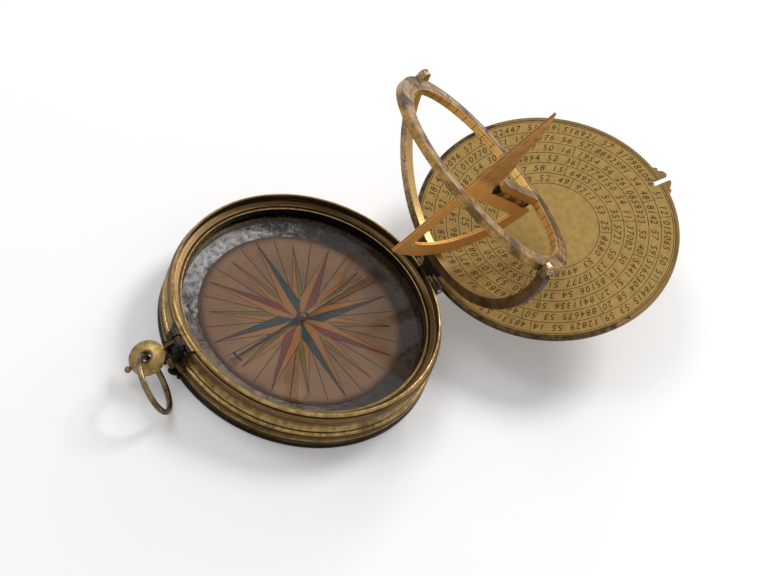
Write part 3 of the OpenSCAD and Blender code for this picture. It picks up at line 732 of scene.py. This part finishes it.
def lathe(profile: Sequence[Pair], steps: int = FINE_STEPS) -> Shape:
    """Turns a closed profile about the z axis.

    Args:
        profile: Corners (radius, height) of the closed profile.
        steps: Steps of the full turn.

    Returns:
        The shape.
    """
    shape = bmesh.new()
    verts = [shape.verts.new((radius, 0, height)) for radius, height in profile]
    edges = [shape.edges.new((verts[i], verts[(i + 1) % len(verts)])) for i in range(len(verts))]
    bmesh.ops.spin(shape, geom=verts + edges, cent=(0, 0, 0), axis=(0, 0, 1), angle=2 * math.pi,
                   steps=steps, use_merge=True)
    bmesh.ops.remove_doubles(shape, verts=shape.verts, dist=1e-5)
    bmesh.ops.recalc_face_normals(shape, faces=shape.faces)
    return shape


def joined(shapes: Iterable[Shape]) -> Shape:
    """Puts shapes into one.

    Args:
        shapes: The shapes, which are used up.

    Returns:
        The whole.
    """
    whole = bmesh.new()
    for shape in shapes:
        mesh = bpy.data.meshes.new("part")
        shape.to_mesh(mesh)
        shape.free()
        whole.from_mesh(mesh)
        bpy.data.meshes.remove(mesh)
    return whole


def tick(length: float, width: float, thick: float, place: Matrix) -> Shape:
    """Makes a thin bar, for a line cut in a surface.

    Args:
        length: Length along its x.
        width: Width along its y.
        thick: Thickness along its z.
        place: Where it goes.

    Returns:
        The shape.
    """
    shape = bmesh.new()
    bmesh.ops.create_cube(shape, size=1.0)
    size = Matrix.Diagonal((length, width, thick, 1.0))
    bmesh.ops.transform(shape, matrix=place @ size, verts=shape.verts)
    return shape


def circle_line(radius: float, width: float, low: float, high: float,
                steps: int = FINE_STEPS) -> Shape:
    """Makes a thin flat ring from low to high, for a circle cut in a surface."""
    inner, outer = radius - width / 2, radius + width / 2
    return lathe([(inner, low), (outer, low), (outer, high), (inner, high)], steps)


def arc_line(radius: float, width: float, low: float, high: float, start: float,
             stop: float) -> Shape:
    """Makes a thin flat arc, for a circle that is broken.

    Args:
        radius: Radius at the middle of the line.
        width: Width of the line.
        low: Height of its underside.
        high: Height of its top.
        start: Angle at which it starts, degrees.
        stop: Angle at which it stops, degrees.

    Returns:
        The shape.
    """
    shape = bmesh.new()
    inner, outer = radius - width / 2, radius + width / 2
    corners = [(inner, low), (outer, low), (outer, high), (inner, high)]
    face = shape.faces.new([shape.verts.new((x, 0, z)) for x, z in corners])
    turn = Matrix.Rotation(math.radians(start), 3, "Z")
    bmesh.ops.rotate(shape, cent=(0, 0, 0), matrix=turn, verts=shape.verts)
    bmesh.ops.spin(shape, geom=[face, *face.edges, *face.verts], cent=(0, 0, 0), axis=(0, 0, 1),
                   angle=math.radians(stop - start), steps=FINE_STEPS)
    bmesh.ops.recalc_face_normals(shape, faces=shape.faces)
    return shape


@dataclass
class Graver:
    """Cuts slanted figures, one mesh for each character."""

    slant: float = 0.3  # how far the figures lean
    depth: float = 0.03  # half their thickness, in millimetres
    kept: dict[tuple[str, float], bpy.types.Mesh] = field(default_factory=dict)

    def glyph(self, text: str, size: float) -> bpy.types.Mesh:
        """Gives the mesh of a character, centred on its baseline.

        Args:
            text: One character or a short group.
            size: Size of the type, in millimetres.

        Returns:
            The mesh, in millimetres.
        """
        key = (text, size)
        if key not in self.kept:
            curve = bpy.data.curves.new("glyph", "FONT")
            curve.body = text
            curve.size = size
            curve.shear = self.slant
            curve.extrude = self.depth
            curve.resolution_u = 2
            curve.align_x = "CENTER"
            holder = linked("glyph", curve)
            bpy.context.view_layer.update()
            graph = bpy.context.evaluated_depsgraph_get()
            mesh = bpy.data.meshes.new_from_object(holder.evaluated_get(graph))
            bpy.data.objects.remove(holder)
            self.kept[key] = mesh
        return self.kept[key]

    def add(self, whole: Shape, text: str, size: float, place: Matrix) -> None:
        """Adds a character to a shape.

        Args:
            whole: The shape.
            text: The character.
            size: Size of the type, in millimetres.
            place: Where its baseline's middle goes.
        """
        before = len(whole.verts)
        whole.from_mesh(self.glyph(text, size))
        whole.verts.ensure_lookup_table()
        bmesh.ops.transform(whole, matrix=place, verts=whole.verts[before:])


def on_circle(radius: float, angle: float, height: float = 0.0) -> Matrix:
    """Place on a flat circle whose y points away from the centre.

    Args:
        radius: Radius of the circle.
        angle: Angle from x, degrees.
        height: Height above the plane.

    Returns:
        The place.
    """
    a = math.radians(angle)
    spot = (radius * math.cos(a), radius * math.sin(a), height)
    return Matrix.Translation(spot) @ rotation(angle - 90)


def on_drum(radius: float, angle: float, height: float = 0.0, inside: bool = False) -> Matrix:
    """Place on a drum's side: x along the circle, y along the axis, z out of the surface.

    Args:
        radius: Radius of the drum.
        angle: Angle from x, degrees.
        height: Height along the axis.
        inside: Whether it is the drum's inner side.

    Returns:
        The place.
    """
    a = math.radians(angle)
    out = Vector((math.cos(a), math.sin(a), 0.0))
    if inside:
        out.negate()
    up = Vector((0.0, 0.0, 1.0))
    along = up.cross(out)
    turn = Matrix((along, up, out)).transposed().to_4x4()
    return Matrix.Translation((radius * math.cos(a), radius * math.sin(a), height)) @ turn


@dataclass
class Case:
    """The turned case with its hinges, the bracket and the lower cover."""

    shop: Workshop
    rounding: float = 0.06
    cover_rounding: float = 0.12

    def build(self) -> None:
        """Dresses the case's pieces."""
        self.shop.dress("case_wall", WALL.make())
        self.shop.dress("case_floor", COVER.make())
        self.shop.softened("lower_cover", COVER.make(), self.cover_rounding)
        black = BLACK.make()
        for node in ("case_hinge", "case_low_hinge", "cover_leaf"):
            self.shop.softened(node, black, self.rounding)
        self.shop.softened("hasp_bracket", BRACKET.make(), self.rounding)
        steel = STEEL.make()
        for node in ("top_hinge_pin", "hasp_pin", "cover_pin"):
            self.shop.dress(node, steel)
        self.shop.dress("bracket_rivets", LEAF.make())


@dataclass(frozen=True)
class Point:
    """One size of the rose's points: its start, swell and reach, half its width, and its height."""

    start: float
    swell: float
    reach: float
    wide: float
    rise: float


@dataclass
class Compass:
    """The card with its rose, the needle, the glass and the bezel."""

    shop: Workshop
    top: float = 0.0  # height of the card's top, which build() takes from the frame
    sunk: float = 0.03  # how deep the prints reach into the card
    lift: float = 0.02  # how far the finest points lie above it
    needle_turn: float = 196.0
    rounding: float = 0.05
    thin: Triple = (6.4, 17.0, 0.19)  # start, length and width of the thin lines
    outline: float = 0.13  # width of the lines round the points
    circles: Pair = (24.0, 24.45)
    circle_width: float = 0.12
    points: dict[int, Point] = field(default_factory=lambda: {
        1: Point(0.4, 4.8, 23.4, 2.25, 0.016),
        2: Point(1.6, 6.2, 23.0, 2.05, 0.008),
        3: Point(3.4, 7.8, 22.0, 1.4, 0.0),
    })

    def half_point(self, angle: float, order: int, side: int) -> Shape:
        """Makes one half of a point of the rose.

        Args:
            angle: Direction of the point, degrees.
            order: 1 for the cardinal points, 2 and 3 for the finer ones.
            side: 1 or -1, the half.

        Returns:
            The shape.
        """
        point = self.points[order]
        corners = [(point.start, 0.0), (point.swell, point.wide * side), (point.reach, 0.0)]
        shape = prism(corners, self.top - self.sunk, self.top + self.lift + point.rise)
        turn = Matrix.Rotation(math.radians(angle), 3, "Z")
        bmesh.ops.rotate(shape, cent=(0, 0, 0), matrix=turn, verts=shape.verts)
        return shape

    def rose(self) -> None:
        """Makes the rose: four blue, four red and eight olive points, each with one orange half; its
        sixteen lines come from lines().
        """
        halves: dict[str, list[Shape]] = {name: [] for name in ROSE_INKS}
        for order, name, first, count in ((3, "olive", 22.5, 8), (2, "red", 45, 4), (1, "blue", 0, 4)):
            for index in range(count):
                angle = first + 360 / count * index
                halves[name].append(self.half_point(angle, order, -1))
                halves["orange"].append(self.half_point(angle, order, 1))
        for name, shapes in halves.items():
            self.shop.piece(f"rose_{name}", joined(shapes), ROSE_INKS[name].make(), "case", "paper")

    def lines(self) -> None:
        """Makes the thin lines of the rose, its points' outlines and the card's circles."""
        parts = []
        start, length, width = self.thin
        for index in range(16):
            turn = rotation(11.25 + 22.5 * index)
            place = turn @ Matrix.Translation((start + length / 2, 0, self.top - 0.005))
            parts.append(tick(length, width, 0.04, place))
        for index in range(0, 32, 2):
            point = self.points[1 if index % 8 == 0 else 2 if index % 4 == 0 else 3]
            turn = rotation(11.25 * index)
            for side in (-1, 0, 1):
                across, along = point.wide * side, point.reach - point.swell
                middle = ((point.reach + point.swell) / 2, across / 2, self.top + point.rise)
                slant = Matrix.Rotation(math.atan2(-across, along), 4, "Z")
                place = turn @ Matrix.Translation(middle) @ slant
                parts.append(tick(math.hypot(along, across), self.outline, 0.05, place))
        low, high = self.top - self.sunk, self.top + 0.025
        for radius in self.circles:
            parts.append(circle_line(radius, self.circle_width, low, high, 96))
        self.shop.piece("rose_lines", joined(parts), LINE_INK.make(), "case", "paper")

    def tray(self) -> Material:
        """The dark surround of the card, with dust and a whitish haze: partly dust, partly a painted
        reflection of the glass.
        """
        graph = Graph("dark_surround")
        cloud = graph.noise(0.2, 6.0, 0.7, distortion=2.0)
        fine = graph.noise(1.1, 5.0, 0.7, distortion=1.5)
        x, y = graph.along(Axis.X), graph.along(Axis.Y)
        side = graph.total((x, -0.0075), (y, 0.0155))
        near = graph.total((x, -0.0155), (y, -0.009))
        lumps = graph.total((cloud, 0.8), (fine, 0.5))
        colour = graph.mix(graph.span(fine, 0.38, 0.62), 0x201C1B, 0x443D3A)
        brown = graph.span(graph.noise(0.3, 4.0, 0.6), 0.5, 0.7, 0.0, 0.6)
        colour = graph.mix(brown, colour, 0x503E32)
        dust = graph.span(graph.math("ADD", lumps, near), 0.88, 1.28, 0.0, 0.85)
        colour = graph.mix(dust, colour, 0x88796D)
        # Whitish haze, stronger towards one side: partly dust, partly a painted reflection of the
        # glass.
        haze_and_painted_reflection = graph.span(graph.math("ADD", lumps, side), 0.9, 1.28, 0.0, 0.9)
        colour = graph.mix(haze_and_painted_reflection, colour, 0xCCCBCD)
        graph.bump(fine, 0.03, 0.2)
        return graph.finish(colour, graph.span(fine, 0.3, 0.7, 0.6, 0.9), Specular_IOR_Level=0.08)

    def glass(self) -> Material:
        """Thin old glass that lets light through."""
        graph = Graph("old_glass")
        graph.bump(graph.noise(0.12, 2.0, 0.5), 0.12, 0.2)
        material = graph.finish(WHITENESS, 0.0, Transmission_Weight=1.0, IOR=1.22)
        clear = graph.shade("BsdfTransparent", WHITENESS)
        graph.blend(graph.rays("Shadow", "Diffuse"), graph.shader.outputs[0], clear, graph.output)
        return material

    def build(self) -> None:
        """Makes the compass."""
        self.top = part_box("compass_card")[1][2] * PER_MM
        self.shop.dress("compass_tray", self.tray())
        self.shop.dress("compass_card", CARD.make())
        self.rose()
        self.lines()
        self.shop.dress("pivot_pin", STEEL.make())
        self.shop.dress("needle", BLUED.make(rotation(self.needle_turn)))
        self.shop.softened("needle_cap", CAP.make(), self.rounding)
        self.shop.dress("glass", self.glass())
        self.shop.softened("bezel_ring", BEZEL.make(), self.rounding)


@dataclass
class Lid:
    """The lid with its engraved table of numbers."""

    shop: Workshop
    graver: Graver
    inner: float = 12.5  # radius of the innermost circle
    row: float = 3.02  # width of a row
    rows: int = 6
    border: float = 0.45  # distance between the two outer circles
    size: float = 2.45
    pitch: float = 0.58  # room for a figure, as a share of its size
    foot: float = 0.2  # where a figure stands in its row, as a share of the row
    line: float = 0.15
    slot: float = 2.1  # half the angle at which the outer circles break, degrees
    sunk: float = 0.04  # how deep the lines reach into the plate
    proud: float = 0.015
    seed: int = 11

    def figures(self, count: int, chance: random.Random) -> list[str]:
        """Gives plain numbers with gaps, as many characters as asked for.

        Args:
            count: Number of characters.
            chance: Source of the numbers.

        Returns:
            The characters, with a bar where the row is divided.
        """
        text = ""
        while len(text) < count:
            name = "".join(chance.choice("1234567890") for _ in range(chance.randint(4, 7)))
            text += f"{name} {chance.randint(50, 58)} {chance.randint(10, 59)}|"
        return list(text[:count])

    def table(self) -> None:
        """Cuts the circles, the dividing lines and the rows of numbers."""
        chance = random.Random(self.seed)
        whole = bmesh.new()
        cuts = []
        for index in range(self.rows):
            cuts.append(circle_line(self.inner + index * self.row, self.line, -self.sunk, self.proud))
        outermost = self.inner + self.rows * self.row
        for radius in (outermost, outermost + self.border):
            start, stop = self.slot - 180, 180 - self.slot
            cuts.append(arc_line(radius, self.line, -self.sunk, self.proud, start, stop))
        height = self.proud - self.graver.depth
        for index in range(self.rows):
            radius = self.inner + (index + self.foot) * self.row
            step = math.degrees(self.size * self.pitch / radius)
            text = self.figures(int(360 / step), chance)
            step = 360 / len(text)
            offset = chance.uniform(0, 360)
            for position, mark in enumerate(text):
                angle = offset - position * step
                if mark == "|":
                    middle = self.inner + (index + 0.5) * self.row
                    place = on_circle(middle, angle, 0.0) @ rotation(90)
                    cuts.append(tick(self.row, self.line, 2 * self.proud, place))
                elif mark != " ":
                    self.graver.add(whole, mark, self.size, on_circle(radius, angle, height))
        ink = GRAVED.make(FRAMES.table())
        self.shop.piece("table_numbers", whole, ink, "lid", "plate_brass", FRAMES.table())
        self.shop.piece("table_lines", joined(cuts), ink, "lid", "plate_brass", FRAMES.table())

    def build(self) -> None:
        """Makes the lid."""
        for node, look, rounding in (("lid_plate", PLATE, 0.05), ("lid_rim", RIM, 0.08),
                                     ("lid_hinge_leaf", LEAF, 0.08)):
            self.shop.softened(node, look.make(FRAMES.lid()), rounding)
        self.shop.dress("lid_rivets", BRIGHT.make(FRAMES.lid()))
        self.table()


@dataclass
class Dial:
    """The folding dial: support arc, hour ring, bar and gnomon."""

    shop: Workshop
    graver: Graver
    half: float = 0.9  # half the thickness of the arc and the ring
    ring_inner: float = 24.6
    arc_outer: float = 31.4
    proud: float = 0.012
    hour_foot: float = 26.05  # radius on which the hour figures stand
    hour_size: float = 2.1
    half_hours: float = 25.15  # radius of the short lines' middle
    circles: Pair = (25.65, 28.15)
    degree_size: float = 0.95
    rounding: float = 0.1
    bar_rounding: float = 0.14
    barrel: Pair = (9.5, 24.2)  # where the gnomon's hinge starts and ends
    grime_half: float = 0.16
    grime_reach: Pair = (0.98, 1.09)

    def hours(self) -> None:
        """Cuts the hours and half hours on the ring's faces."""
        whole = bmesh.new()
        height = self.half + self.proud - self.graver.depth
        for hour in range(24):
            spot = on_circle(self.hour_foot, 180.0 - 15.0 * hour, height)
            self.graver.add(whole, str((hour + 11) % 12 + 1), self.hour_size, spot)
        cuts = []
        for index in range(48):
            angle = 7.5 * index
            spot = on_circle(self.half_hours, angle, self.half) @ rotation(90)
            cuts.append(tick(0.9, 0.12, 0.03, spot))
            cuts.append(tick(0.17, 1.66, 0.05, on_drum(self.ring_inner, angle, 0.0, True)))
        for radius in self.circles:
            cuts.append(circle_line(radius, 0.11, self.half - 0.03, self.half + self.proud))
        ink = FAINT.make(FRAMES.ring())
        self.shop.piece("hour_numbers", whole, ink, "ring", "dial_brass", FRAMES.ring())
        self.shop.piece("hour_lines", joined(cuts), ink, "ring", "dial_brass", FRAMES.ring())

    def degrees(self) -> None:
        """Cuts the scale of degrees on the outside of the support arc."""
        whole = bmesh.new()
        cuts = []
        for degree in range(-84, 86, 2):
            if abs(degree) < 6:
                continue
            tall = 0.75 if degree % 10 == 0 else 0.45
            spot = on_drum(self.arc_outer, degree, -self.half + tall / 2 + 0.1)
            cuts.append(tick(0.14, tall, 0.05, spot))
            if degree % 10 == 0:
                number = str(90 - abs(degree))
                spot = on_drum(self.arc_outer - self.graver.depth + 0.015, degree, 0.02)
                self.graver.add(whole, number, self.degree_size, spot)
        ink = FAINT.make(FRAMES.arc())
        self.shop.piece("arc_numbers", whole, ink, "arc", "dial_brass", FRAMES.arc())
        self.shop.piece("arc_lines", joined(cuts), ink, "arc", "dial_brass", FRAMES.arc())

    def grime(self) -> None:
        """Lays dirt in the gaps between the knuckles of the gnomon's hinge."""
        start, stop = self.barrel
        pitch = (stop - start) / 5
        (inner, outer), half = self.grime_reach, self.grime_half
        rings = []
        for index in range(1, 5):
            ring = lathe([(inner, -half), (outer, -half), (outer, half), (inner, half)], 24)
            place = Matrix.Translation((start + index * pitch, 0, -FRAMES.fold_axis))
            bmesh.ops.transform(ring, matrix=place @ rotation(90, "Y"), verts=ring.verts)
            rings.append(ring)
        finish = GRIME.make(FRAMES.ring())
        self.shop.piece("hinge_grime", joined(rings), finish, "ring", "dial_brass", FRAMES.ring())

    def build(self) -> None:
        """Makes the dial."""
        for node, look, place, rounding in (
            ("support_arc", ARC, FRAMES.arc(), self.rounding),
            ("arc_bracket", BLACK, FRAMES.arc(), self.rounding),
            ("hour_ring", RING, FRAMES.ring(), self.rounding),
            ("hinge_bar", BAR, FRAMES.ring(), self.bar_rounding),
            ("gnomon", GNOMON, FRAMES.ring(), self.rounding),
        ):
            self.shop.softened(node, look.make(place), rounding)
        for node in ("gnomon_pin", "pivot_screw_far", "pivot_screw_near"):
            self.shop.dress(node, BLACK.make(FRAMES.ring()))
        self.hours()
        self.degrees()
        self.grime()


@dataclass
class Latch:
    """The hasp with its finial and the loose bail ring."""

    shop: Workshop
    rounding: float = 0.05

    def build(self) -> None:
        """Dresses the hasp and the bail."""
        disc = FRAMES.latch() @ Matrix.Translation((-FRAMES.hasp_len, 0, 0))
        self.shop.softened("hasp", HASP.make(disc), self.rounding)
        self.shop.dress("hasp_finial", FINIAL.make())
        self.shop.dress("bail_ring", WIRE.make())


@dataclass(frozen=True)
class Lamp:
    """A soft round lamp: its place and width in metres, its power in watts, and its tint."""

    name: str
    place: Triple
    size: float
    power: float
    tint: Colour


KEY = Lamp("key", (1.27, 0.42, 1.05), 0.6, 22.0, (1.0, 0.985, 0.96))
FILL = Lamp("fill", (-0.5, 0.95, 1.45), 1.1, 10.0, (0.99, 0.99, 1.0))


@dataclass
class Studio:
    """The floor, the light and the camera."""

    camera_place: Triple = (-373.24, -374.689, 633.767)
    right: Triple = (0.848738, -0.459665, 0.261442)
    down: Triple = (-0.228175, -0.764332, -0.603103)
    forward: Triple = (0.477054, 0.452222, -0.753601)
    sensor: float = 36.0
    focal: float = 3500 / 769  # as a share of the picture's width
    aim: Triple = (0.02, 0.0, 0.02)  # what the lamps face, in metres
    room: Colour = (0.38, 0.38, 0.385)
    floor_size: float = 3.0
    paper: Colour = (0.93, 0.925, 0.92)
    glow: float = 0.2  # how white the floor shows by itself

    def camera(self) -> None:
        """Sets the camera where the photograph was taken."""
        data = bpy.data.cameras.new("camera")
        data.sensor_width = self.sensor
        data.lens = self.focal * self.sensor
        data.clip_start = 0.01
        data.clip_end = 20.0
        camera = linked("camera", data)
        turn = Matrix((Vector(self.right), -Vector(self.down), -Vector(self.forward))).transposed()
        camera.matrix_world = Matrix.Translation(Vector(self.camera_place) * MM) @ turn.to_4x4()
        bpy.context.scene.camera = camera

    def lamp(self, lamp: Lamp) -> None:
        """Adds a lamp that faces the object.

        Args:
            lamp: The lamp.
        """
        data = bpy.data.lights.new(lamp.name, "AREA")
        data.shape = "DISK"
        data.size = lamp.size
        data.energy = lamp.power
        data.color = lamp.tint
        turn = (Vector(self.aim) - Vector(lamp.place)).to_track_quat("-Z", "Y").to_matrix().to_4x4()
        linked(lamp.name, data).matrix_world = Matrix.Translation(lamp.place) @ turn

    def world(self) -> None:
        """Makes a pale world that is white where the camera, metal and glass see it."""
        world = bpy.data.worlds.new("pale_room")
        bpy.context.scene.world = world
        world.use_nodes = True
        nodes = Nodes(world.node_tree)
        seen = nodes.rays(*SEEING)
        room, white = nodes.shade("Background", self.room), nodes.shade("Background", WHITENESS)
        nodes.blend(seen, room, white, nodes.add("OutputWorld"))

    def floor(self) -> None:
        """Lays a plain white floor with a faint gloss."""
        shape = bmesh.new()
        bmesh.ops.create_grid(shape, x_segments=1, y_segments=1, size=self.floor_size)
        mesh = bpy.data.meshes.new("floor")
        shape.to_mesh(mesh)
        shape.free()
        floor = linked("floor", mesh)
        graph = Graph("white_floor")
        material = graph.finish(self.paper, 0.2, Specular_IOR_Level=0.3)
        share = graph.math("MULTIPLY", graph.rays(*SEEING), self.glow)
        graph.blend(share, graph.shader.outputs[0], graph.shade("Emission", WHITENESS), graph.output)
        mesh.materials.append(material)

    def build(self) -> None:
        """Makes the studio."""
        bpy.context.scene.view_settings.view_transform = "Standard"
        self.camera()
        self.world()
        self.floor()
        for lamp in (KEY, FILL):
            self.lamp(lamp)
        LOG.info("studio ready")


def main() -> None:
    """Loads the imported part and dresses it."""
    logging.basicConfig(level=logging.INFO, format="%(name)s: %(message)s")
    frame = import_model()
    shop = Workshop(frame)
    graver = Graver()
    Case(shop).build()
    Compass(shop).build()
    Lid(shop, graver).build()
    Dial(shop, graver).build()
    Latch(shop).build()
    Studio().build()


if __name__ == "__main__":
    main()
